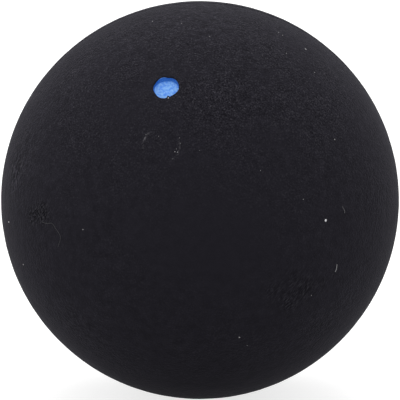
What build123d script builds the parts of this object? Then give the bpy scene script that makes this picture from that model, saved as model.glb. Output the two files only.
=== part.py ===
"""Squash ball: two moulded rubber half shells, bonded at a glue seam, with one painted dot.

Millimetres and degrees. The origin is the centre of the ball and +Z is up. The half shells meet
in the XZ plane. The dotted half faces -Y and the plain half faces +Y.
"""

import os
from math import cos, radians, sin, sqrt

from build123d import *

# The hollow ball
BALL_DIAMETER = 40.0
WALL = 5.2

# The glue between the ground rims of the half shells
GLUE_THICKNESS = 0.2
GLUE_RECESS = 0.05  # buffing wears the glue a little below the rubber
BEAD_RADIUS = 0.7  # glue squeezed out into the cavity

# Where the dot is: its angle from the pole of the dotted half, and from straight up to the left
DOT_POLAR = 45.0
DOT_CLOCK = 13.4

# The pocket that holds the paint
POCKET_DIAMETER = 2.58
POCKET_FILLET = 0.2
LIP_RADIUS = 0.1

# The paint in the pocket: a shallow dish with a thin film up the wall
PAINT_SINK = 0.03  # from the end of the lip down to the edge of the paint
PAINT_FILM = 0.05
PAINT_FLOOR = 0.15
DISH_DEPTH = 0.32
DISH_FILLET = 0.25

# Worked out from the sizes above
ball_radius = BALL_DIAMETER / 2
cavity_radius = ball_radius - WALL
pocket_radius = POCKET_DIAMETER / 2
mouth_drop = ball_radius - sqrt(ball_radius**2 - pocket_radius**2)
paint_height = DISH_DEPTH + PAINT_FLOOR
pocket_depth = mouth_drop + LIP_RADIUS + PAINT_SINK + paint_height

# The dot's axis and planes: one plane touches the ball there, the other is the pocket's floor
dot_direction = Vector(
    -sin(radians(DOT_POLAR)) * sin(radians(DOT_CLOCK)),
    -cos(radians(DOT_POLAR)),
    sin(radians(DOT_POLAR)) * cos(radians(DOT_CLOCK)),
)
dot_axis = Axis((0, 0, 0), dot_direction)
dot_plane = Plane(origin=dot_direction * ball_radius, z_dir=dot_direction)
floor_plane = dot_plane.offset(-pocket_depth)


def half_shell(side):
    """One moulded half, on the +Y side for 1 and the -Y side for -1, ground back at its rim."""
    with BuildPart() as half:
        with BuildSketch(Plane.XY):
            Circle(ball_radius)
            Circle(cavity_radius, mode=Mode.SUBTRACT)
            with Locations((0, side * GLUE_THICKNESS / 2)):
                Rectangle(
                    BALL_DIAMETER,
                    BALL_DIAMETER,
                    align=(Align.MIN, Align.MIN if side > 0 else Align.MAX),
                    mode=Mode.INTERSECT,
                )
        revolve(axis=Axis.Y)
    return half.part


def pocket_circles():
    """The circles at the two ends of the pocket's wall, with the floor's first."""
    pocket_wall = faces().filter_by(GeomType.CYLINDER)[0]
    return pocket_wall.edges().filter_by(GeomType.CIRCLE).sort_by(dot_axis)


# Front half of the ball, with the pocket for the paint
with BuildPart() as dotted_half_shell:
    add(half_shell(-1))
    with BuildSketch(dot_plane):
        Circle(pocket_radius)
    extrude(amount=-pocket_depth, mode=Mode.SUBTRACT)
    fillet(pocket_circles()[0], POCKET_FILLET)
    fillet(pocket_circles()[-1], LIP_RADIUS)
dotted_half_shell.part.label = "dotted_half_shell"

# Back half of the ball
with BuildPart() as plain_half_shell:
    add(half_shell(1))
plain_half_shell.part.label = "plain_half_shell"

# Ring of cured glue: a flat web between the rims, and a bead against the wall of the cavity
with BuildPart() as glue_seam:
    with BuildSketch(Plane.XY):
        Circle(cavity_radius)
        with Locations((cavity_radius, 0)):
            Circle(BEAD_RADIUS, mode=Mode.INTERSECT)
        with Locations((ball_radius - GLUE_RECESS, 0)):
            Rectangle(
                WALL - GLUE_RECESS + BEAD_RADIUS / 2,
                GLUE_THICKNESS,
                align=(Align.MAX, Align.CENTER),
            )
    revolve(axis=Axis.Y)
glue_seam.part.label = "glue_seam"

# Dab of paint: it has the pocket's shape outside, and its own surface is a dish
with BuildPart() as blue_dot:
    with BuildSketch(floor_plane):
        Circle(pocket_radius)
    extrude(amount=paint_height)
    fillet(pocket_circles()[0], POCKET_FILLET)
    with BuildSketch(floor_plane.offset(PAINT_FLOOR)):
        Circle(pocket_radius - PAINT_FILM)
    extrude(amount=DISH_DEPTH, mode=Mode.SUBTRACT)
    dish_circles = edges(Select.LAST).filter_by(GeomType.CIRCLE).sort_by(dot_axis)
    fillet(dish_circles[0], DISH_FILLET)
blue_dot.part.label = "blue_dot"

os.makedirs("parts", exist_ok=True)
for piece in (dotted_half_shell, plain_half_shell, glue_seam, blue_dot):
    export_step(piece.part, f"parts/{piece.part.label}.step")
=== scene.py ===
"""Looks of the squash ball: buffed rubber half shells, a hairline glue seam, a painted dot and lint.

Metres, in the frame of the solids: the ball's centre is the origin and +Z is up.
"""

import math
import random
from itertools import islice

import bmesh
import bpy
import numpy as np
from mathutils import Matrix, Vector, noise


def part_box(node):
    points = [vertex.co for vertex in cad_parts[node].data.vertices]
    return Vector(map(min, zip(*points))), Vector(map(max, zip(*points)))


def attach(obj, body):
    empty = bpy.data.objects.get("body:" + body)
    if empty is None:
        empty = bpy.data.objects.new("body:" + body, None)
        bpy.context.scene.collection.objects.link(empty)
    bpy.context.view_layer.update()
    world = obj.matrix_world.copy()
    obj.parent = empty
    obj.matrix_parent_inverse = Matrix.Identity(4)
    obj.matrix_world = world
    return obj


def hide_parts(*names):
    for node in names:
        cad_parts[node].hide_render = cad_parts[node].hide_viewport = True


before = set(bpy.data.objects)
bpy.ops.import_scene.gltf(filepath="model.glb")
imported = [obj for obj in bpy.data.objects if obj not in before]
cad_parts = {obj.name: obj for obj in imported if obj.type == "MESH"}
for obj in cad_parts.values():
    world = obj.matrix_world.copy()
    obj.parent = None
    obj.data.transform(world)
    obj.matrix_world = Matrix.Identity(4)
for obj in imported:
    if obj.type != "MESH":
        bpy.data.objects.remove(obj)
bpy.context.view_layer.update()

MM = 0.001

# The ball, measured on the solids
plain_low, plain_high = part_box("plain_half_shell")
glue_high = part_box("glue_seam")[1]
dot_low, dot_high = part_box("blue_dot")
ball_radius = plain_high.y
rim_gap = plain_low.y
glue_radius = glue_high.x
bead_height = glue_high.y
dot_axis = np.array((dot_low + dot_high).normalized())

# The seam's axis, from the dotted half to the plain half, and a factor that keeps only X and Z
SEAM_AXIS = np.array((0.0, 1.0, 0.0))
IN_SEAM = 1 - SEAM_AXIS

# Sizes that the solids' boxes don't give
WALL = 5.2 * MM
RIM_ROUNDING = 0.05 * MM
cavity_radius = ball_radius - WALL

# The pocket and the paint in it. Turns are in degrees round the dot, from its top to its left
POCKET_RADIUS = 1.29 * MM
POCKET_FILLET = 0.2 * MM
LIP_RADIUS = 0.1 * MM
PAINT_SINK = 0.03 * MM
PAINT_FILM = 0.05 * MM
PAINT_BITE = 0.01 * MM  # into the pocket's wall, so that no gap shows
PAINT_FLOOR = 0.15 * MM
DISH_DEPTH = 0.32 * MM
FILM_RUN = 0.1 * MM  # the length over which the film thins out to its edge

# The dried paint is uneven: how much, over what length, and the power that fades this out to the rim
DISH_RIPPLE = 0.02 * MM
DISH_RIPPLE_LENGTH = 0.32 * MM
DISH_RIPPLE_FADE = 4

# The paint banks up at the top of the dish: the middle turn and spread of the bank, how wide it is
# there and elsewhere as a share of the dish, the power of its curve, and how far the paint's edge
# drops away from it
BANK_TURN = 6
BANK_SPREAD = 60
BANK_WIDTH = 0.3
BANK_LEAST = 0.08
BANK_CURVE = 1.3
EDGE_DROP = 0.16 * MM

# Up the wall the paint's colour is darkened as painted shade of the pocket's wall, and lightened again
# at
# its edge as a painted highlight: the heights where each starts and ends, as shares of the dish, and
# how much of the darkening the edge takes away
WALL_SHADE_HEIGHTS = (0.04, 0.18)
EDGE_HIGHLIGHT_HEIGHTS = (0.75, 1.0)
EDGE_HIGHLIGHT_SHARE = 0.45

# Where the pocket's wall is pressed in, or out below 0: the turn, the spread and how far.
# The narrow one is a burr
POCKET_DENTS = (
    (215, 45, 0.19 * MM),
    (125, 30, 0.11 * MM),
    (85, 25, -0.05 * MM),
    (30, 25, -0.06 * MM),
    (3, 14, 0.05 * MM),
    (-66, 20, 0.04 * MM),
    (199, 5, 0.2 * MM),
)

# Where the paint runs further up than elsewhere, or less far: the turn, the spread and how far
PAINT_RUNS = (
    (30, 25, 0.07 * MM),
    (1, 16, -0.07 * MM),
    (-46, 15, 0.05 * MM),
)

# How far buffing wears the glue down, and over what length
GLUE_WEAR = 0.04 * MM
GLUE_WEAR_LENGTH = 2.5 * MM

# Waves that buffing leaves in the rubber
WAVE_LENGTH = 1.1 * MM
WAVE_HEIGHT = 0.012 * MM

# Layered noise: its increment, lacunarity and octaves
WAVE_FRACTAL = (0.6, 2.0, 3)
DISH_FRACTAL = (0.7, 2.0, 3)

# Rings and columns of the large skins
SHELL_COLUMNS = 420
OUTSIDE_ROWS = 184
INSIDE_ROWS = 14
GLUE_COLUMNS = 360
PAINT_COLUMNS = 180

# Points along the small curves. Turns are in degrees, but the pole's is in radians
POLE_TURN = 0.002
RIM_TURNS = (30, 60, 90)
BEAD_TURNS = (95, 265)
BEAD_POINTS = 12
FLOOR_SHARES = (0.1, 0.4, 0.7)
FILLET_POINTS = 6
LIP_POINTS = 10
FILM_POINTS = 8
WALL_POINTS = 8

# Points from near the middle of the dish to its rim: how many, where they start between 1 at the
# middle and 0 at the rim, and the power that crowds them at the rim
DISH_POINTS = 30
DISH_START = 0.95
DISH_CROWDING = 1.5

# The camera, for the photo's 400 pixel frame
CAMERA_ELEVATION = 10.8
CAMERA_DISTANCE = 0.4
CAMERA_LENS = 357.8
SENSOR_WIDTH = 36.0
PHOTO_SIZE = 400
camera_tilt = math.radians(CAMERA_ELEVATION)
camera_forward = Vector((0, math.cos(camera_tilt), -math.sin(camera_tilt)))
camera_up = Vector((0, math.sin(camera_tilt), math.cos(camera_tilt)))
camera_place = -camera_forward * CAMERA_DISTANCE
pixel_size = SENSOR_WIDTH / CAMERA_LENS / PHOTO_SIZE

# A round moulding mark under the dot, worn away but for two arcs: the pixel of its middle, its size,
# and for each arc its turn and spread in degrees, from the right upwards, and how much of it is left
RING_PIXEL = (161, 146)
RING_RADIUS = 1.8 * MM
RING_REACH = 1.5 * RING_RADIUS
RING_WIDTH = 0.15 * MM
RING_CORE = 0.4 * RING_WIDTH
RING_HEIGHT = 0.012 * MM
RING_ARCS = ((158, 26, 0.75), (-15, 32, 0.8))

# Wear breaks the arcs up: the size of the breaks, what is left on average and how much this varies
RING_BREAKS = 0.24 * MM
RING_SHARE = 0.45
RING_WEAR = 1.2

# Places where the grain is rubbed up, or worn flat below 0: the pixel of each, its size and how much
SCUFFS = (
    ((16, 170), 2.6 * MM, 2.3),
    ((70, 75), 2.5 * MM, 0.5),
    ((190, 12), 6.0 * MM, 1.0),
    ((75, 325), 2.5 * MM, 1.2),
    ((325, 325), 2.5 * MM, 0.8),
    ((240, 75), 5.0 * MM, 0.4),
    ((110, 110), 4.0 * MM, -0.4),
    ((215, 225), 9.0 * MM, -0.75),
)

# Places scratched in play: the pixel of each, its size and how much
SCRATCHES = (
    ((31, 217), 0.8 * MM, 0.9),
    ((41, 213), 1.0 * MM, 1.8),
    ((297, 292), 2.2 * MM, 0.35),
    ((293, 276), 0.7 * MM, 0.25),
    ((306, 288), 0.9 * MM, 0.35),
    ((289, 303), 0.9 * MM, 0.4),
    ((272, 292), 0.8 * MM, 0.4),
    ((323, 284), 0.7 * MM, 0.3),
)

# The scratches run up to the right, at a slope in degrees, and are longer than wide by the stretch
SCRATCH_WIDTH = 0.16 * MM
SCRATCH_STRETCH = 2.8
SCRATCH_SLOPE = 50
SCRATCH_DEPTH = 0.3 * MM

# Crumbs of dust: the pixel where each shows, its size and how white it is
CRUMBS = (
    ((325.5, 220.5), 0.12 * MM, 1.0),
    ((239.3, 337.3), 0.07 * MM, 0.65),
    ((334.5, 139.5), 0.075 * MM, 0.3),
    ((305.5, 49.5), 0.105 * MM, 0.38),
    ((311.3, 295.3), 0.05 * MM, 0.4),
    ((303.3, 199.3), 0.05 * MM, 0.32),
    ((23.5, 264.5), 0.07 * MM, 0.45),
    ((278.5, 32.5), 0.055 * MM, 0.38),
    ((282.4, 35.4), 0.055 * MM, 0.25),
    ((152.5, 21.5), 0.055 * MM, 0.45),
    ((286.5, 53.4), 0.055 * MM, 0.32),
    ((209.5, 36.5), 0.055 * MM, 0.28),
    ((181.5, 23.5), 0.055 * MM, 0.28),
    ((83.0, 229.5), 0.065 * MM, 0.3),
    ((314.5, 72.5), 0.055 * MM, 0.4),
    ((247.3, 345.4), 0.045 * MM, 0.36),
    ((199.5, 150.5), 0.045 * MM, 0.15),
    ((260.5, 170.5), 0.045 * MM, 0.25),
    ((9.0, 222.0), 0.085 * MM, 0.7),
    ((168.4, 98.0), 0.06 * MM, 0.6),
    ((146.0, 134.7), 0.045 * MM, 0.2),
    ((158.7, 136.5), 0.045 * MM, 0.18),
    ((179.4, 138.0), 0.05 * MM, 0.2),
    ((180.4, 143.6), 0.05 * MM, 0.15),
    ((176.5, 149.0), 0.045 * MM, 0.2),
    ((174.9, 151.8), 0.05 * MM, 0.4),
    ((177.6, 152.2), 0.05 * MM, 0.4),
    ((172.4, 159.0), 0.045 * MM, 0.15),
)

# More crumbs, scattered on the back of the ball. The odds that a place takes one are given at middle
# height, with their rise from there to the top
CRUMB_SEED = 4
CRUMB_COUNT = 30
CRUMB_SIZES = (0.035 * MM, 0.07 * MM)
CRUMB_WHITENESS = (0.1, 0.5)
CRUMB_ODDS = 0.55
CRUMB_ODDS_RISE = 0.45

# A crumb's shape: how far its middle is off the ball and how flat it is, as shares of its size,
# how uneven it is, how many lumps that makes, and how finely it is meshed
CRUMB_LIFT = 0.3
CRUMB_FLATNESS = 0.6
CRUMB_UNEVENNESS = 0.5
CRUMB_LUMPS = 1.3
CRUMB_SUBDIVISIONS = 2

# Fibres: the pixels along each, its thickness and how white it is
FIBRES = (
    (((42, 222), (47, 223.5), (52, 223.5), (56, 229), (60.5, 237), (58, 247)), 0.035 * MM, 0.11),
    (((335.2, 271.8), (336.1, 269.5), (336.7, 267), (336.9, 264.2)), 0.05 * MM, 0.6),
    (((342.4, 206.5), (343.4, 208.5), (344.5, 211), (344.6, 213.2)), 0.04 * MM, 0.25),
)
FIBRE_STEPS = 12
FIBRE_SIDES = 6
FIBRE_LIFT = 0.5  # its middle off the ball, as a share of half its thickness

# Colours
WHITE = (1, 1, 1, 1)
BLACK = (0, 0, 0, 1)
RUBBER_COLOUR = (0.0171, 0.0161, 0.0213, 1)
PIT_COLOUR = (0.0049, 0.0047, 0.0062, 1)
DUST_COLOUR = (0.054, 0.052, 0.061, 1)
# Painted shade for the scratches' cuts, and a painted highlight for their ridges
CUT_SHADE_COLOUR = (0.003, 0.0028, 0.0038, 1)
RIDGE_HIGHLIGHT_COLOUR = (0.045, 0.044, 0.051, 1)
CHALK_COLOUR = (0.125, 0.122, 0.133, 1)
SHEEN_COLOUR = (0.9, 0.88, 1.0, 1)
PALE_PAINT_COLOUR = (0.215, 0.48, 0.96, 1)
DEEP_PAINT_COLOUR = (0.085, 0.29, 0.91, 1)
# Painted shade of the pocket's wall, on the paint that runs up it
WALL_SHADE_PAINT_COLOUR = (0.006, 0.13, 0.58, 1)
DARK_GLUE_COLOUR = (0.01, 0.01, 0.012, 1)
PALE_GLUE_COLOUR = (0.014, 0.0135, 0.016, 1)
LINT_COLOUR = (0.9, 0.89, 0.92, 1)
FLOOR_COLOUR = (0.5, 0.5, 0.5, 1)

# A shader's noise: the span that most of its values lie in, and how many finer layers it has
NOISE_SPAN = (0.35, 0.65)
NOISE_LAYERS = 2.0
SCRATCH_LAYERS = 1.0

# The rubber's grain: the size of its grit, pebbles and rubbed-up lumps, and how deep it is. Its
# strength varies in patches, and the lumps come up over a span of the strength that scuffs give it
GRIT_SIZE = 0.15 * MM
PEBBLE_SIZE = 0.3 * MM
LUMP_SIZE = 0.45 * MM
PATCH_SIZE = 7 * MM
GRAIN_DEPTH = 0.2 * MM
GRAIN_STRENGTHS = (0.25, 0.6)
GRIT_SHARE = 0.4
LUMPY_SPAN = (1.2, 3)

# The rubber's tones by the height of its relief: pits and dust in the grain, and in the scratches
# painted shade in the cuts and a painted highlight on the ridges
SPECK_TONES = (
    (0.3, PIT_COLOUR),
    (0.46, RUBBER_COLOUR),
    (0.54, RUBBER_COLOUR),
    (0.72, DUST_COLOUR),
)
SCRATCH_SHADE_AND_HIGHLIGHT_TONES = (
    (0.42, CUT_SHADE_COLOUR),
    (0.5, RUBBER_COLOUR),
    (0.56, RUBBER_COLOUR),
    (0.69, RIDGE_HIGHLIGHT_COLOUR),
)

# More dust shows higher up the ball: part dust, part painted top light that lightens the upper side.
# Two heights, and how much of the dust shows at each
TOP_LIGHT_HEIGHTS = (-1 * MM, 14 * MM)
DUST_AND_TOP_LIGHT_SHARES = (0.55, 1.7)

# Smears in the dust: their size, the span of their noise and how far they change the tone
SMEAR_SIZE = 0.8 * MM
SMEAR_SPAN = (0.25, 0.75)
SMEAR_CHANGES = (-0.2, 0.2)

# The span of the grit over which dust comes to cling to the moulding mark
CHALK_SPAN = (0.43, 0.56)

# The rubber's gloss
RUBBER_ROUGHNESS = (0.55, 0.65)
RUBBER_SPECULAR = 0.004
SHEEN_WEIGHT = 0.05
SHEEN_ROUGHNESS = 0.5

# The paint's blotches, its pigment and its gloss
BLOTCH_SIZE = 0.25 * MM
BLOTCH_SPAN = (0.36, 0.64)
PIGMENT_SIZE = 0.09 * MM
PIGMENT_STRENGTH = 0.5
PIGMENT_DEPTH = 0.02 * MM
PAINT_ROUGHNESS = (0.2, 0.32)
PAINT_SPECULAR = 0.3

# The glue's lumps and its gloss
GLUE_LUMP_SIZE = 0.5 * MM
GLUE_LUMP_STRENGTH = 0.6
GLUE_LUMP_DEPTH = 0.06 * MM
GLUE_ROUGHNESS = (0.5, 0.7)
GLUE_SPECULAR = 0.02

# The speckle of dust and fibres, and their gloss
SPECKLE_SIZE = 0.05 * MM
SPECKLE_SPAN = (0.3, 0.7)
SPECKLE_SHARES = (0.8, 1.0)
LINT_ROUGHNESS = 0.9
LINT_SPECULAR = 0.1

# Sockets of the node that mixes colours
MIX_FIRST = 6
MIX_SECOND = 7
MIX_RESULT = 2

# Light. A strength of 1 lights a white card at the ball, facing the lamp, to white.
# Each lamp has its name, place, size and strength
WORLD_LIGHT = 0.824
SOFTBOXES = (
    ("top_light", (0.0, 0.0, 0.6), 0.5, 0.25),
    ("top_back_light", (0.0, 0.35, 0.5), 0.4, 0.29),
    ("left_light", (-0.6, 0.0, 0.2), 0.4, 0.107),
)

# The floor, and how much brighter than its lit colour it shows
FLOOR_HALF = 3.0
FLOOR_CORNERS = ((-1, -1), (1, -1), (1, 1), (-1, 1))
FLOOR_GLOW = 0.75


def unit(vectors):
    """Numpy vectors scaled to length 1."""
    return vectors / np.linalg.norm(vectors, axis=-1, keepdims=True)


def arc(centre, radius, start, end, count):
    """Points (across, along) of an arc between two angles in degrees, both ends included."""
    angles = np.radians(np.linspace(start, end, count))
    return [(centre[0] + radius * math.cos(a), centre[1] + radius * math.sin(a)) for a in angles]


def bell(turn, centre, spread):
    """1 at the centre turn, falling off on both sides. The turn is in radians, the rest in degrees."""
    away = (math.degrees(turn) - centre + 180) % 360 - 180
    return math.exp(-((away / spread) ** 2))


def bells(turn, bumps):
    """The sum of bells at a turn, where each bump is a centre turn, a spread and a height."""
    return sum(height * bell(turn, centre, spread) for centre, spread, height in bumps)


def ring_axes(axis):
    """Two unit vectors square to an axis. The first leans towards +Z."""
    along = Vector(axis)
    guide = Vector((0, 0, 1))
    across = (guide - along * guide.dot(along)).normalized()
    return np.array(across), np.array(along.cross(across))


def lathe_rows(profile_at, axis, columns):
    """Rings of points round an axis, where profile_at gives the (radius, height) points at a turn."""
    across, side = ring_axes(axis)
    strips = []
    for turn in np.linspace(0, 2 * math.pi, columns, endpoint=False):
        outward = math.cos(turn) * across + math.sin(turn) * side
        strips.append([radius * outward + height * axis for radius, height in profile_at(turn)])
    return list(np.array(strips).transpose(1, 0, 2))


def mesh_from_rows(name, rows, start=None, end=None):
    """A skin over rings of points, with a fan to the start and end points where they are given."""
    columns = len(rows[0])
    points = [point for row in rows for point in row]
    faces = []
    for row in range(len(rows) - 1):
        for column in range(columns):
            beside = (column + 1) % columns
            low, high = row * columns, (row + 1) * columns
            faces.append((low + column, low + beside, high + beside, high + column))
    for tip, first in ((start, 0), (end, (len(rows) - 1) * columns)):
        if tip is None:
            continue
        points.append(tip)
        for column in range(columns):
            faces.append((first + column, first + (column + 1) % columns, len(points) - 1))
    mesh = bpy.data.meshes.new(name)
    mesh.from_pydata([tuple(point) for point in points], [], faces)
    skin = bmesh.new()
    skin.from_mesh(mesh)
    bmesh.ops.recalc_face_normals(skin, faces=skin.faces)
    skin.to_mesh(mesh)
    skin.free()
    mesh.shade_smooth()
    return mesh


def add_object(name, data):
    """An object in the scene."""
    made = bpy.data.objects.new(name, data)
    bpy.context.scene.collection.objects.link(made)
    return made


def piece(name, mesh, material, stands_for=None):
    """An object of the ball, riding with it."""
    made = add_object(name, mesh)
    mesh.materials.append(material)
    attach(made, "root")
    if stands_for:
        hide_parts(stands_for)


def on_ball(pixel):
    """The point of the ball that shows at a pixel of the photo."""
    right = (pixel[0] - PHOTO_SIZE / 2) * pixel_size
    down = (pixel[1] - PHOTO_SIZE / 2) * pixel_size
    ray = (camera_forward + Vector((right, 0, 0)) - camera_up * down).normalized()
    nearest = -camera_place.dot(ray)
    miss = camera_place + ray * nearest
    return camera_place + ray * (nearest - math.sqrt(ball_radius**2 - miss.length_squared))


def ring_left(points):
    """How much of the round moulding mark is left at each point by wear. It is 0 away from the mark."""
    middle = np.array(on_ball(RING_PIXEL))
    left = np.zeros(len(points))
    for index in np.flatnonzero(np.linalg.norm(points - middle, axis=1) < RING_REACH):
        offset = points[index] - middle
        kept = bells(math.atan2(offset[2], offset[0]), RING_ARCS)
        wear = RING_WEAR * noise.noise(Vector(points[index]) / RING_BREAKS)
        left[index] = kept * max(0, RING_SHARE + wear)
    return left


def ring_ridge(points):
    """Height of the moulding mark at each point."""
    away = np.linalg.norm(points - np.array(on_ball(RING_PIXEL)), axis=1)
    return RING_HEIGHT * ring_left(points) * np.exp(-(((away - RING_RADIUS) / RING_WIDTH) ** 2))


def spotted(points, plain, spots):
    """A strength at each point: the plain one, changed at each spot, a pixel, size and change."""
    strength = np.full(len(points), plain)
    for pixel, size, change in spots:
        away = np.linalg.norm(points - np.array(on_ball(pixel)), axis=1)
        strength += change * np.exp(-((away / size) ** 2))
    return strength


def buffed(row):
    """A ring of points on the sphere, moved in and out by the buffing waves and the moulding mark."""
    waves = np.array([noise.fractal(Vector(point) / WAVE_LENGTH, *WAVE_FRACTAL) for point in row])
    heights = WAVE_HEIGHT * waves + ring_ridge(row)
    return row + unit(row) * heights[:, None]


def arcs_between(starts, ends, shares):
    """Rings along the great circles from the start directions to the end directions."""
    spread = np.arccos(np.clip(np.sum(starts * ends, axis=1), -1, 1))[:, None]
    return [
        (np.sin((1 - share) * spread) * starts + np.sin(share * spread) * ends) / np.sin(spread)
        for share in shares
    ]


def seam_directions(starts, pole):
    """Where the great circles from the pole through the start directions meet the seam plane."""
    away = unit(starts - np.outer(starts @ pole, pole))
    angles = np.arctan2(pole[1], -away[:, 1])
    angles = np.where(angles < 0, angles + math.pi, angles)
    return np.cos(angles)[:, None] * pole + np.sin(angles)[:, None] * away


def rim_rows(outward, reach, side):
    """Rings over the rounded edge of a half shell and along its flat rim to the cavity."""
    rows = []
    for turn in np.radians(RIM_TURNS):
        height = side * (rim_gap + RIM_ROUNDING * (1 - math.sin(turn)))
        rows.append(outward * (reach - RIM_ROUNDING * (1 - math.cos(turn))) + height * SEAM_AXIS)
    cavity_edge = math.sqrt(cavity_radius**2 - rim_gap**2)
    return rows + [outward * cavity_edge + side * rim_gap * SEAM_AXIS]


def half_shell_rows(pole, mouth_rows, side):
    """Rings from the mouth round the pole, over the outside, the rim and the inside of a half shell."""
    starts = unit(mouth_rows[-1])
    outward = unit(seam_directions(starts, pole) * IN_SEAM)
    edge = unit(outward * ball_radius + side * (rim_gap + RIM_ROUNDING) * SEAM_AXIS)
    shares = np.linspace(0, 1, OUTSIDE_ROWS + 1)[1:]
    outside = [buffed(ring * ball_radius) for ring in arcs_between(starts, edge, shares)]
    reach = np.linalg.norm(outside[-1] * IN_SEAM, axis=1, keepdims=True)
    rim = rim_rows(outward, reach, side)
    inner_pole = np.tile(pole, (len(starts), 1))
    shares = np.linspace(0, 1, INSIDE_ROWS + 1)[1:-1]
    inside = [ring * cavity_radius for ring in arcs_between(unit(rim[-1]), inner_pole, shares)]
    return mouth_rows + outside + rim + inside


def mark_rubber(mesh):
    """Keeps on the mesh how strong the grain is, and where scratches and the moulding mark are."""
    points = np.array([vertex.co for vertex in mesh.vertices])
    marks = {
        "grain": spotted(points, 1.0, SCUFFS),
        "scratches": spotted(points, 0.0, SCRATCHES),
        "chalk": ring_left(points),
    }
    for name, values in marks.items():
        mesh.attributes.new(name, "FLOAT", "POINT").data.foreach_set("value", values)
    return mesh


def pocket_radius(turn):
    """The pocket is round, but for its dents."""
    return POCKET_RADIUS - bells(turn, POCKET_DENTS)


def lip_centre(turn):
    """(radius, height) of the middle of the lip's rounding."""
    radius = pocket_radius(turn) + LIP_RADIUS
    return radius, math.sqrt((ball_radius - LIP_RADIUS) ** 2 - radius**2)


def pocket_floor():
    """Height of the pocket's floor along the dot's axis."""
    lip_height = math.sqrt((ball_radius - LIP_RADIUS) ** 2 - (POCKET_RADIUS + LIP_RADIUS) ** 2)
    return lip_height - PAINT_SINK - DISH_DEPTH - PAINT_FLOOR


def pocket_bottom(turn):
    """(radius, height) over the pocket's floor and fillet, from the middle to the foot of the wall."""
    inner = pocket_radius(turn) - POCKET_FILLET
    profile = [(inner * share, pocket_floor()) for share in FLOOR_SHARES]
    fillet_centre = (inner, pocket_floor() + POCKET_FILLET)
    return profile + arc(fillet_centre, POCKET_FILLET, -90, 0, FILLET_POINTS)


def mouth_point(turn, run, lift):
    """(radius, height) on the rubber at a run past the top of the wall, over the lip and onto the ball.

    A run below 0 is down the wall. The point is lifted off the rubber by the lift.
    """
    centre = lip_centre(turn)
    lip_turn = math.pi - math.atan2(centre[1], centre[0])
    if run <= 0:
        return centre[0] - LIP_RADIUS - lift, centre[1] + run
    if run <= LIP_RADIUS * lip_turn:
        angle = math.pi - run / LIP_RADIUS
        reach = LIP_RADIUS + lift
        return centre[0] + reach * math.cos(angle), centre[1] + reach * math.sin(angle)
    angle = math.pi - lip_turn - (run - LIP_RADIUS * lip_turn) / ball_radius
    reach = ball_radius + lift
    return reach * math.cos(angle), reach * math.sin(angle)


def pocket_profile(turn):
    """(radius, height) from the middle of the pocket's floor, up its wall and over its lip."""
    centre = lip_centre(turn)
    sphere_turn = math.degrees(math.atan2(centre[1], centre[0]))
    return pocket_bottom(turn) + arc(centre, LIP_RADIUS, 180, sphere_turn, LIP_POINTS)


def dotted_half_mesh():
    """The front half shell, with its rings centred on the pocket."""
    mouth_rows = lathe_rows(pocket_profile, dot_axis, SHELL_COLUMNS)
    rows = half_shell_rows(dot_axis, mouth_rows, -1)
    floor_middle = dot_axis * pocket_floor()
    inner_middle = dot_axis * cavity_radius
    return mark_rubber(mesh_from_rows("dotted_half_shell_mesh", rows, floor_middle, inner_middle))


def plain_half_mesh():
    """The back half shell, with its rings centred on its pole."""
    tip_ring = [(ball_radius * math.sin(POLE_TURN), ball_radius * math.cos(POLE_TURN))]
    mouth_rows = [buffed(row) for row in lathe_rows(lambda turn: tip_ring, SEAM_AXIS, SHELL_COLUMNS)]
    rows = half_shell_rows(SEAM_AXIS, mouth_rows, 1)
    tip = buffed(SEAM_AXIS[None] * ball_radius)[0]
    inner_tip = SEAM_AXIS * cavity_radius
    return mark_rubber(mesh_from_rows("plain_half_shell_mesh", rows, tip, inner_tip))


def banked(turn):
    """1 where the paint is banked up highest."""
    return bell(turn, BANK_TURN, BANK_SPREAD)


def paint_edge(turn):
    """How far past the top of the wall the paint's edge runs."""
    return bells(turn, PAINT_RUNS) - PAINT_SINK - EDGE_DROP * (1 - banked(turn))


def dish_ripple(turn, radius):
    """Unevenness of the dried paint."""
    place = Vector((math.cos(turn), math.sin(turn), 0)) * radius / DISH_RIPPLE_LENGTH
    return DISH_RIPPLE * noise.fractal(place, *DISH_FRACTAL)


def dish_profile(turn, rim_radius, rim_height):
    """(radius, height) of the paint's dish and its bank, from near the middle to the rim."""
    floor = pocket_floor() + PAINT_FLOOR
    bank = BANK_LEAST + (BANK_WIDTH - BANK_LEAST) * banked(turn)
    profile = []
    for share in 1 - np.linspace(DISH_START, 0, DISH_POINTS) ** DISH_CROWDING:
        radius = rim_radius * share
        climb = (rim_height - floor) * max(0, 1 - (1 - share) / bank) ** BANK_CURVE
        ripple = dish_ripple(turn, radius) * (1 - share**DISH_RIPPLE_FADE)
        profile.append((radius, floor + climb + ripple))
    return profile


def paint_profile(turn):
    """(radius, height) of the paint: over its dish, up the wall to its edge, and back below."""
    edge = paint_edge(turn)
    profile = dish_profile(turn, *mouth_point(turn, edge - FILM_RUN, PAINT_FILM))
    for share in np.linspace(0, 1, FILM_POINTS)[1:]:
        lift = PAINT_FILM * math.sqrt(1 - share**2)
        profile.append(mouth_point(turn, edge - FILM_RUN * (1 - share), lift))
    below = pocket_bottom(turn)
    wall_foot = below[-1][1] - lip_centre(turn)[1]
    runs = np.linspace(edge, wall_foot, WALL_POINTS)[:-1]
    profile += [mouth_point(turn, run, -PAINT_BITE) for run in runs]
    return profile + below[::-1]


def paint_mesh():
    """The dab of paint."""
    rows = lathe_rows(paint_profile, dot_axis, PAINT_COLUMNS)
    middle = dot_axis * (pocket_floor() + PAINT_FLOOR + dish_ripple(0, 0))
    return mesh_from_rows("blue_dot_mesh", rows, middle, dot_axis * pocket_floor())


def glue_edge(turn):
    """How far out the glue reaches: buffing takes a little more off it in some places than others."""
    place = Vector((math.cos(turn), math.sin(turn), 0)) * ball_radius / GLUE_WEAR_LENGTH
    return glue_radius - GLUE_WEAR * (1 + noise.noise(place)) / 2


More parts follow.
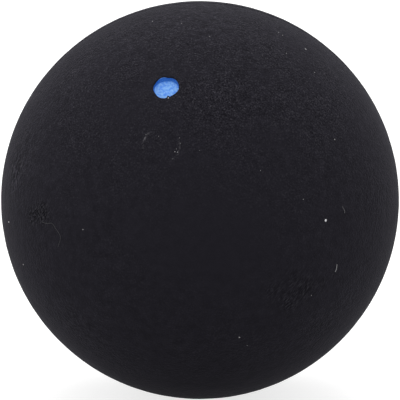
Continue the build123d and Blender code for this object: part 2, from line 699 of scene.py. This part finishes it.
def glue_profile(turn):
    """(radius, height) round the glue: a web between the rims and a bead in the cavity."""
    edge = glue_edge(turn)
    web = [(cavity_radius, -rim_gap), (edge, -rim_gap), (edge, rim_gap), (cavity_radius, rim_gap)]
    return web + arc((cavity_radius, 0), bead_height, *BEAD_TURNS, BEAD_POINTS) + web[:1]


def glue_mesh():
    """The ring of glue."""
    return mesh_from_rows("glue_seam_mesh", lathe_rows(glue_profile, SEAM_AXIS, GLUE_COLUMNS))


def add_crumb(lint, whiteness, point, size, white, seed):
    """An uneven grain of dust, flattened against the ball and sunk a little into it."""
    outward = point.normalized()
    turn = outward.to_track_quat("Z", "Y")
    middle = point + outward * size * CRUMB_LIFT
    grain = bmesh.ops.create_icosphere(lint, subdivisions=CRUMB_SUBDIVISIONS, radius=1)
    for vertex in grain["verts"]:
        lump = noise.noise(vertex.co * CRUMB_LUMPS + Vector((seed, 0, 0)))
        shape = vertex.co * (1 + CRUMB_UNEVENNESS * lump)
        vertex.co = middle + turn @ Vector((shape.x, shape.y, shape.z * CRUMB_FLATNESS)) * size
        vertex[whiteness] = white


def scattered_crumbs():
    """Places, sizes and whiteness of small crumbs on the back of the ball, more of them on top."""
    draw = random.Random(CRUMB_SEED)
    while True:
        outward = Vector((draw.gauss(0, 1), draw.gauss(0, 1), draw.gauss(0, 1))).normalized()
        if outward.y > 0 and draw.random() < CRUMB_ODDS + CRUMB_ODDS_RISE * outward.z:
            size = draw.uniform(*CRUMB_SIZES)
            white = draw.uniform(*CRUMB_WHITENESS)
            yield outward * ball_radius, size, white


def fibre_path(pixels):
    """Points on the ball along a Catmull-Rom curve through pixels of the photo."""
    corners = [on_ball(pixel) for pixel in pixels]
    corners = [corners[0] * 2 - corners[1]] + corners + [corners[-1] * 2 - corners[-2]]
    path = []
    for before, start, end, after in zip(corners, corners[1:], corners[2:], corners[3:]):
        for share in np.linspace(0, 1, FIBRE_STEPS, endpoint=False):
            bend = (end - before) * share + (before * 2 - start * 5 + end * 4 - after) * share**2
            bend += (start * 3 - before - end * 3 + after) * share**3
            path.append((start + bend / 2).normalized() * ball_radius)
    return path + [corners[-2]]


def add_fibre(lint, whiteness, path, thickness, white):
    """A bent fibre that lies along points on the ball."""
    rings = []
    for index, point in enumerate(path):
        ahead = path[min(index + 1, len(path) - 1)] - path[max(index - 1, 0)]
        outward = point.normalized()
        sideways = ahead.cross(outward).normalized()
        ring = []
        for angle in np.linspace(0, 2 * math.pi, FIBRE_SIDES, endpoint=False):
            spoke = outward * (math.sin(angle) + FIBRE_LIFT) + sideways * math.cos(angle)
            vertex = lint.verts.new(point + spoke * thickness / 2)
            vertex[whiteness] = white
            ring.append(vertex)
        rings.append(ring)
    for low, high in zip(rings, rings[1:]):
        for side in range(FIBRE_SIDES):
            beside = (side + 1) % FIBRE_SIDES
            lint.faces.new((low[side], low[beside], high[beside], high[side]))
    lint.faces.new(rings[0][::-1])
    lint.faces.new(rings[-1])


def lint_mesh():
    """Dust and fibres that cling to the rubber."""
    lint = bmesh.new()
    whiteness = lint.verts.layers.float.new("whiteness")
    crumbs = [(on_ball(pixel), size, white) for pixel, size, white in CRUMBS]
    crumbs += islice(scattered_crumbs(), CRUMB_COUNT)
    for seed, (point, size, white) in enumerate(crumbs):
        add_crumb(lint, whiteness, point, size, white, seed)
    for pixels, thickness, white in FIBRES:
        add_fibre(lint, whiteness, fibre_path(pixels), thickness, white)
    bmesh.ops.recalc_face_normals(lint, faces=lint.faces)
    mesh = bpy.data.meshes.new("lint_mesh")
    lint.to_mesh(mesh)
    lint.free()
    mesh.shade_smooth()
    return mesh


def add_node(tree, kind, values=None, **settings):
    """A shader node, with its sockets set to numbers or linked to other nodes' outputs."""
    made = tree.nodes.new(kind)
    for name, setting in settings.items():
        setattr(made, name, setting)
    for socket, value in (values or {}).items():
        if isinstance(value, bpy.types.NodeSocket):
            tree.links.new(value, made.inputs[socket])
        else:
            made.inputs[socket].default_value = value
    return made


def new_material(name):
    """An empty node material, its tree and its output node."""
    material = bpy.data.materials.new(name)
    material.use_nodes = True
    material.node_tree.nodes.clear()
    output = material.node_tree.nodes.new("ShaderNodeOutputMaterial")
    return material, material.node_tree, output


def add_surface(tree, output, values):
    """The surface shader of a material, with its sockets set."""
    shader = add_node(tree, "ShaderNodeBsdfPrincipled", values)
    tree.links.new(shader.outputs["BSDF"], output.inputs["Surface"])


def place_on(tree):
    """The place of each point of the surface, in the frame of the ball."""
    return add_node(tree, "ShaderNodeTexCoord").outputs["Object"]


def attribute(tree, name):
    """A number kept on the mesh."""
    return add_node(tree, "ShaderNodeAttribute", attribute_name=name).outputs["Fac"]


def noise_of(tree, place, size, layers=NOISE_LAYERS):
    """Noise with lumps of about that size."""
    values = {"Vector": place, "Scale": 1 / size, "Detail": layers}
    return add_node(tree, "ShaderNodeTexNoise", values).outputs["Fac"]


def ranged(tree, value, span, to_span=(0, 1)):
    """The value, stretched from one span to another and held inside it."""
    values = {
        "Value": value,
        "From Min": span[0],
        "From Max": span[1],
        "To Min": to_span[0],
        "To Max": to_span[1],
    }
    return add_node(tree, "ShaderNodeMapRange", values).outputs["Result"]


def maths(tree, operation, *numbers):
    """One arithmetic step."""
    return add_node(tree, "ShaderNodeMath", dict(enumerate(numbers)), operation=operation).outputs[0]


def vector_maths(tree, operation, values, result):
    """One step with vectors. The result is the name of the output."""
    return add_node(tree, "ShaderNodeVectorMath", values, operation=operation).outputs[result]


def between(tree, share, first, second):
    """A number between two."""
    return maths(tree, "MULTIPLY_ADD", share, maths(tree, "SUBTRACT", second, first), first)


def mixed(tree, share, first, second):
    """A colour between two."""
    values = {"Factor": share, MIX_FIRST: first, MIX_SECOND: second}
    return add_node(tree, "ShaderNodeMix", values, data_type="RGBA").outputs[MIX_RESULT]


def ramped(tree, value, stops):
    """A colour that follows a value through stops, each a position and a colour."""
    made = add_node(tree, "ShaderNodeValToRGB", {"Fac": value})
    elements = made.color_ramp.elements
    while len(elements) < len(stops):
        elements.new(1.0)
    for element, (position, colour) in zip(elements, stops):
        element.position = position
        element.color = colour
    return made.outputs["Color"]


def bumped(tree, height, strength, depth, normal=None):
    """The direction of a surface with relief, on top of the relief that a normal already has."""
    values = {"Height": height, "Strength": strength, "Distance": depth}
    if normal is not None:
        values["Normal"] = normal
    return add_node(tree, "ShaderNodeBump", values).outputs["Normal"]


def scratch_lumps(tree, place):
    """Long thin lumps of noise that run with the scratches."""
    values = {
        "Vector": place,
        "Rotation": (0, -math.radians(SCRATCH_SLOPE), 0),
        "Scale": (SCRATCH_STRETCH, 1, 1),
    }
    stretched = add_node(tree, "ShaderNodeMapping", values, vector_type="TEXTURE").outputs["Vector"]
    return noise_of(tree, stretched, SCRATCH_WIDTH, SCRATCH_LAYERS)


def dusted_and_top_lit(tree, place, grain, specks):
    """The rubber's colour: pits and dust where the grain is strong, more of both higher up as painted
    top light.
    """
    height = add_node(tree, "ShaderNodeSeparateXYZ", {"Vector": place}).outputs["Z"]
    # Painted top light: the share of pits and dust rises with height
    dust = maths(tree, "MULTIPLY", grain, ranged(tree, height, TOP_LIGHT_HEIGHTS, DUST_AND_TOP_LIGHT_SHARES))
    return mixed(tree, dust, RUBBER_COLOUR, ramped(tree, specks, SPECK_TONES))


def smeared(tree, place, tone):
    """A tone, made lighter and darker in smears where the grain is strong."""
    smears = ranged(tree, noise_of(tree, place, SMEAR_SIZE), SMEAR_SPAN, SMEAR_CHANGES)
    change = maths(tree, "MULTIPLY_ADD", attribute(tree, "grain"), smears, 1)
    return vector_maths(tree, "SCALE", {0: tone, "Scale": change}, "Vector")


def ring_dust(tree, place, grit):
    """Where dust clings to what is left of the moulding mark, from 0 to 1."""
    away = vector_maths(tree, "DISTANCE", {0: place, 1: on_ball(RING_PIXEL)}, "Value")
    off_ridge = maths(tree, "ABSOLUTE", maths(tree, "SUBTRACT", away, RING_RADIUS))
    on_ridge = ranged(tree, off_ridge, (RING_CORE, RING_WIDTH), (1, 0))
    broken = maths(tree, "MULTIPLY", attribute(tree, "chalk"), ranged(tree, grit, CHALK_SPAN))
    return maths(tree, "MULTIPLY", broken, on_ridge)


def grain_strength(tree, place):
    """How strong the grain is: it varies with the scuffs, and in patches."""
    patches = ranged(tree, noise_of(tree, place, PATCH_SIZE), NOISE_SPAN, GRAIN_STRENGTHS)
    return maths(tree, "MULTIPLY", attribute(tree, "grain"), patches)


def grain_relief(tree, place, grit, pebbles, lumpy):
    """Height of the grain: grit on pebbles, or larger lumps where it is rubbed up."""
    fine_relief = maths(tree, "MULTIPLY_ADD", grit, GRIT_SHARE, pebbles)
    return between(tree, lumpy, fine_relief, noise_of(tree, place, LUMP_SIZE))


def rubber_material():
    """Matt black rubber with a buffed grain and pale dust, lighter on its upper side with painted top
    light.
    """
    material, tree, output = new_material("buffed_rubber")
    place = place_on(tree)
    grit = noise_of(tree, place, GRIT_SIZE)
    pebbles = noise_of(tree, place, PEBBLE_SIZE)
    grain = grain_strength(tree, place)
    lumpy = ranged(tree, attribute(tree, "grain"), LUMPY_SPAN)
    scratched = attribute(tree, "scratches")
    scratches = scratch_lumps(tree, place)
    relief = grain_relief(tree, place, grit, pebbles, lumpy)
    grain_normal = bumped(tree, relief, grain, GRAIN_DEPTH)
    tone = dusted_and_top_lit(tree, place, grain, between(tree, lumpy, grit, pebbles))
    tone = smeared(tree, place, tone)
    # Scratches, with painted shade in their cuts and a painted highlight on their ridges
    tone = mixed(tree, scratched, tone, ramped(tree, scratches, SCRATCH_SHADE_AND_HIGHLIGHT_TONES))
    surface = {
        "Base Color": mixed(tree, ring_dust(tree, place, grit), tone, CHALK_COLOUR),
        "Roughness": ranged(tree, grit, NOISE_SPAN, RUBBER_ROUGHNESS),
        "Specular IOR Level": RUBBER_SPECULAR,
        "Sheen Weight": SHEEN_WEIGHT,
        "Sheen Roughness": SHEEN_ROUGHNESS,
        "Sheen Tint": SHEEN_COLOUR,
        "Normal": bumped(tree, scratches, scratched, SCRATCH_DEPTH, grain_normal),
    }
    add_surface(tree, output, surface)
    return material


def dish_heights(shares):
    """Heights along the dot's axis, at shares of the dish's depth above its uneven floor."""
    foot = pocket_floor() + PAINT_FLOOR + DISH_RIPPLE
    return [foot + share * DISH_DEPTH for share in shares]


def paint_material():
    """Blue paint, settled unevenly in the dish. Up the wall it is darkened with painted shade of the
    pocket's wall, and lightened again at its edge with a painted highlight.
    """
    material, tree, output = new_material("blue_paint")
    place = place_on(tree)
    blotches = ranged(tree, noise_of(tree, place, BLOTCH_SIZE), BLOTCH_SPAN)
    pigment = noise_of(tree, place, PIGMENT_SIZE)
    settled = mixed(tree, blotches, DEEP_PAINT_COLOUR, PALE_PAINT_COLOUR)
    height = vector_maths(tree, "DOT_PRODUCT", {0: place, 1: dot_axis}, "Value")
    # Painted shade up the pocket's wall, and a painted highlight at the paint's edge
    wall_shaded = ranged(tree, height, dish_heights(WALL_SHADE_HEIGHTS))
    edge_lit = ranged(tree, height, dish_heights(EDGE_HIGHLIGHT_HEIGHTS), (0, EDGE_HIGHLIGHT_SHARE))
    painted_shade_share = maths(tree, "SUBTRACT", wall_shaded, edge_lit)
    surface = {
        "Base Color": mixed(tree, painted_shade_share, settled, WALL_SHADE_PAINT_COLOUR),
        "Roughness": ranged(tree, pigment, NOISE_SPAN, PAINT_ROUGHNESS),
        "Specular IOR Level": PAINT_SPECULAR,
        "Normal": bumped(tree, pigment, PIGMENT_STRENGTH, PIGMENT_DEPTH),
    }
    add_surface(tree, output, surface)
    return material


def glue_material():
    """Cured black glue, a little smoother than the rubber."""
    material, tree, output = new_material("cured_glue")
    lumps = noise_of(tree, place_on(tree), GLUE_LUMP_SIZE)
    surface = {
        "Base Color": mixed(tree, lumps, DARK_GLUE_COLOUR, PALE_GLUE_COLOUR),
        "Roughness": ranged(tree, lumps, NOISE_SPAN, GLUE_ROUGHNESS),
        "Specular IOR Level": GLUE_SPECULAR,
        "Normal": bumped(tree, lumps, GLUE_LUMP_STRENGTH, GLUE_LUMP_DEPTH),
    }
    add_surface(tree, output, surface)
    return material


def lint_material():
    """Dust and fibres, from grey to white."""
    material, tree, output = new_material("dust_and_lint")
    speckle = ranged(tree, noise_of(tree, place_on(tree), SPECKLE_SIZE), SPECKLE_SPAN, SPECKLE_SHARES)
    tone = maths(tree, "MULTIPLY", attribute(tree, "whiteness"), speckle)
    surface = {
        "Base Color": mixed(tree, tone, BLACK, LINT_COLOUR),
        "Roughness": LINT_ROUGHNESS,
        "Specular IOR Level": LINT_SPECULAR,
    }
    add_surface(tree, output, surface)
    return material


def seen_directly(tree):
    """1 for rays that show the background: from the camera, a mirror or glass."""
    path = add_node(tree, "ShaderNodeLightPath")
    either = maths(tree, "MAXIMUM", path.outputs["Is Camera Ray"], path.outputs["Is Glossy Ray"])
    return maths(tree, "MAXIMUM", either, path.outputs["Is Transmission Ray"])


def floor_material():
    """Shows white from above, darker where the ball shades it, and clear from below."""
    material, tree, output = new_material("white_floor")
    diffuse = add_node(tree, "ShaderNodeBsdfDiffuse", {"Color": FLOOR_COLOUR})
    glow_strength = maths(tree, "MULTIPLY", seen_directly(tree), FLOOR_GLOW)
    glow = add_node(tree, "ShaderNodeEmission", {"Strength": glow_strength})
    pale = add_node(tree, "ShaderNodeAddShader", {0: diffuse.outputs[0], 1: glow.outputs[0]})
    clear = add_node(tree, "ShaderNodeBsdfTransparent", {"Color": WHITE})
    underside = add_node(tree, "ShaderNodeNewGeometry").outputs["Backfacing"]
    sides = {0: underside, 1: pale.outputs[0], 2: clear.outputs[0]}
    surface = add_node(tree, "ShaderNodeMixShader", sides)
    tree.links.new(surface.outputs[0], output.inputs["Surface"])
    return material


def add_floor():
    """A pale floor under the ball."""
    corners = [(x * FLOOR_HALF, y * FLOOR_HALF, -ball_radius) for x, y in FLOOR_CORNERS]
    mesh = bpy.data.meshes.new("floor")
    mesh.from_pydata(corners, [], [range(len(corners))])
    mesh.materials.append(floor_material())
    floor = add_object("floor", mesh)


def set_world():
    """Even light from all round. The sky itself shows white."""
    world = bpy.data.worlds.new("studio")
    bpy.context.scene.world = world
    world.use_nodes = True
    tree = world.node_tree
    tree.nodes.clear()
    strength = ranged(tree, seen_directly(tree), (0, 1), (WORLD_LIGHT, 1))
    sky = add_node(tree, "ShaderNodeBackground", {"Color": WHITE, "Strength": strength})
    output = tree.nodes.new("ShaderNodeOutputWorld")
    tree.links.new(sky.outputs[0], output.inputs["Surface"])


def face_ball(made, place):
    """Puts a lamp or the camera in its place and points it at the ball."""
    made.location = place
    made.rotation_euler = (-Vector(place)).to_track_quat("-Z", "Y").to_euler()


def add_softbox(name, place, size, strength):
    """A square light that points at the ball."""
    lamp = bpy.data.lights.new(name, "AREA")
    lamp.size = size
    lamp.energy = strength * (math.pi * Vector(place).length) ** 2
    face_ball(add_object(name, lamp), place)


def add_camera():
    """The photo's view: the ball's outline fills the frame."""
    lens = bpy.data.cameras.new("camera")
    lens.lens = CAMERA_LENS
    lens.sensor_width = SENSOR_WIDTH
    camera = add_object("camera", lens)
    face_ball(camera, camera_place)
    bpy.context.scene.camera = camera


bpy.context.scene.view_settings.view_transform = "Standard"
rubber = rubber_material()
piece("dotted_half", dotted_half_mesh(), rubber, "dotted_half_shell")
piece("plain_half", plain_half_mesh(), rubber, "plain_half_shell")
piece("glue_ring", glue_mesh(), glue_material(), "glue_seam")
piece("paint_dab", paint_mesh(), paint_material(), "blue_dot")
piece("dust_and_lint", lint_mesh(), lint_material())
add_floor()
set_world()
for softbox in SOFTBOXES:
    add_softbox(*softbox)
add_camera()
